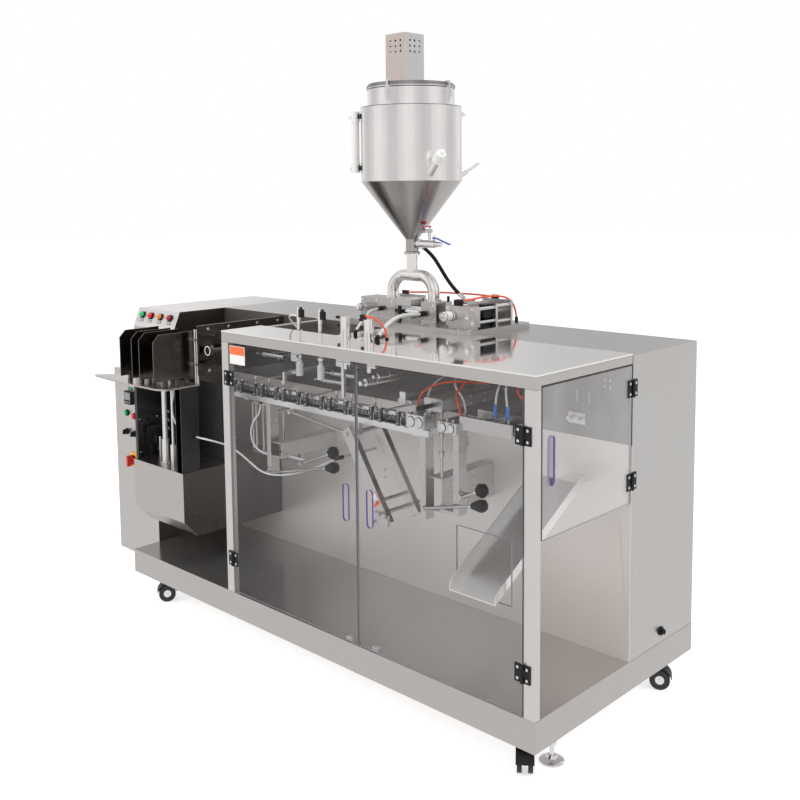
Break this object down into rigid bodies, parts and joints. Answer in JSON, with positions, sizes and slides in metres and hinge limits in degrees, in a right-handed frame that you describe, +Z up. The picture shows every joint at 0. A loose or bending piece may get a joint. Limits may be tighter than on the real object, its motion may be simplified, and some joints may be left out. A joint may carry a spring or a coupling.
{
  "type": "premade pouch packing machine",
  "caption": "Horizontal premade pouch filling and sealing machine with clear-doored working bay, pouch magazine, control column, twin piston filler and jacketed hopper on top.",
  "frame": {"origin": "centre of the bounding box on the floor under the levelling feet", "axes": "+Z up, +X along the machine from the control column towards the discharge end, +Y from the front doors towards the back"},
  "size_m": [2.6864, 1.121, 2.504],
  "materials": {
    "brushed_stainless": "brushed stainless sheet",
    "polished_stainless": "polished stainless",
    "clear_acrylic": "clear acrylic sheet with violet-blue cut edges",
    "black_plastic": "black moulded plastic",
    "zinc_steel": "zinc plated pressed steel",
    "red_plastic": "red plastic",
    "blue_plastic": "blue plastic",
    "button_plastic": "coloured lens plastic",
    "anodised_aluminium": "anodised aluminium",
    "clear_tube": "milky translucent tube",
    "orange_tube": "orange polyurethane tube"
  },
  "bodies": {
    "frame": {"adjusting_knobs": "black_plastic", "air_fittings": "black_plastic", "air_tubes_orange": "orange_tube", "air_tubes_white": "clear_tube", "base_tray": "brushed_stainless", "black_hose": "black_plastic", "cabinet_front_wall": "brushed_stainless", "cabinet_housing": "brushed_stainless", "caster_plates": "zinc_steel", "chain_rail": "anodised_aluminium", "control_cabinet": "brushed_stainless", "discharge_chute": "brushed_stainless", "door_catches": "zinc_steel", "drain_valve": "polished_stainless", "enclosure_posts": "brushed_stainless", "enclosure_top_rails": "brushed_stainless", "fixed_hinge_leaves": "black_plastic", "gripper_chain": "anodised_aluminium", "hopper_gauges": "clear_tube", "hopper_lid": "polished_stainless", "hopper_shell": "polished_stainless", "levelling_feet": "polished_stainless", "lid_clamps": "polished_stainless", "link_arms": "brushed_stainless", "magazine_column": "black_plastic", "magazine_guard": "brushed_stainless", "magazine_lift_cylinder": "anodised_aluminium", "magazine_plates": "polished_stainless", "magazine_tray": "brushed_stainless", "manifold": "polished_stainless", "motor_cover": "polished_stainless", "opening_station": "anodised_aluminium", "panel_devices": "black_plastic", "pilot_buttons": "button_plastic", "pouch_grippers": "anodised_aluminium", "pouch_pickup_unit": "anodised_aluminium", "product_hoses": "clear_tube", "pump_blocks": "brushed_stainless", "pump_cylinders": "polished_stainless", "rail_brackets": "brushed_stainless", "seal_station": "anodised_aluminium", "top_cover": "clear_acrylic", "top_cylinders": "anodised_aluminium"},
    "front_door_left": {"front_door_left": "clear_acrylic", "left_door_hinge_leaves": "black_plastic"},
    "front_door_right": {"front_door_right": "clear_acrylic", "right_door_hinge_leaves": "black_plastic"},
    "side_door": {"side_door": "clear_acrylic", "side_door_hinge_leaves": "black_plastic"},
    "main_switch_handle": {"main_switch_handle": "red_plastic"},
    "blue_lever": {"blue_lever": "blue_plastic"},
    "red_lever": {"red_lever": "red_plastic"},
    "caster_fork_fr": {"caster_fork_fr": "black_plastic"},
    "caster_wheel_fr": {"caster_wheel_fr": "black_plastic"},
    "caster_fork_rr": {"caster_fork_rr": "black_plastic"},
    "caster_wheel_rr": {"caster_wheel_rr": "black_plastic"},
    "caster_fork_fl": {"caster_fork_fl": "black_plastic"},
    "caster_wheel_fl": {"caster_wheel_fl": "black_plastic"},
    "caster_fork_rl": {"caster_fork_rl": "black_plastic"},
    "caster_wheel_rl": {"caster_wheel_rl": "black_plastic"}
  },
  "joints": [
    {"name": "front_door_left_hinge", "type": "hinge", "parent": "frame", "child": "front_door_left", "pos_m": [-0.2132, -0.4595, 0.732], "axis": [0, 0, 1], "range_deg": [-110, 0]},
    {"name": "front_door_right_hinge", "type": "hinge", "parent": "frame", "child": "front_door_right", "pos_m": [1.2748, -0.4595, 0.732], "axis": [0, 0, 1], "range_deg": [0, 110]},
    {"name": "side_door_hinge", "type": "hinge", "parent": "frame", "child": "side_door", "pos_m": [1.3288, 0.0995, 1.021], "axis": [0, 0, 1], "range_deg": [0, 110]},
    {"name": "main_switch_turn", "type": "hinge", "parent": "frame", "child": "main_switch_handle", "pos_m": [-1.1867, -0.3335, 0.571], "axis": [0, -1, 0], "range_deg": [0, 90]},
    {"name": "blue_lever_turn", "type": "hinge", "parent": "frame", "child": "blue_lever", "pos_m": [0.3318, 0.1975, 1.669], "axis": [0, 0, 1], "range_deg": [0, 90]},
    {"name": "red_lever_turn", "type": "hinge", "parent": "frame", "child": "red_lever", "pos_m": [0.2918, 0.2155, 1.716], "axis": [0, 0, 1], "range_deg": [0, 90]},
    {"name": "caster_swivel_fr", "type": "hinge", "parent": "frame", "child": "caster_fork_fr", "pos_m": [1.2441, -0.398, 0.084], "axis": [0, 0, 1], "continuous": true},
    {"name": "caster_roll_fr", "type": "hinge", "parent": "caster_fork_fr", "child": "caster_wheel_fr", "pos_m": [1.25483, -0.41245, 0.0395], "axis": [0.8028, 0.5962, 0], "continuous": true},
    {"name": "caster_swivel_rr", "type": "hinge", "parent": "frame", "child": "caster_fork_rr", "pos_m": [1.2738, 0.3705, 0.084], "axis": [0, 0, 1], "continuous": true},
    {"name": "caster_roll_rr", "type": "hinge", "parent": "caster_fork_rr", "child": "caster_wheel_rr", "pos_m": [1.28956, 0.3792, 0.0395], "axis": [-0.4833, 0.8755, 0], "continuous": true},
    {"name": "caster_swivel_fl", "type": "hinge", "parent": "frame", "child": "caster_fork_fl", "pos_m": [-0.7772, -0.3955, 0.084], "axis": [0, 0, 1], "continuous": true},
    {"name": "caster_roll_fl", "type": "hinge", "parent": "caster_fork_fl", "child": "caster_wheel_fl", "pos_m": [-0.78684, -0.4107, 0.0395], "axis": [0.8443, -0.5358, 0], "continuous": true},
    {"name": "caster_swivel_rl", "type": "hinge", "parent": "frame", "child": "caster_fork_rl", "pos_m": [-0.7882, 0.3975, 0.084], "axis": [0, 0, 1], "continuous": true},
    {"name": "caster_roll_rl", "type": "hinge", "parent": "caster_fork_rl", "child": "caster_wheel_rl", "pos_m": [-0.80511, 0.39134, 0.0395], "axis": [0.342, -0.9397, 0], "continuous": true}
  ]
}
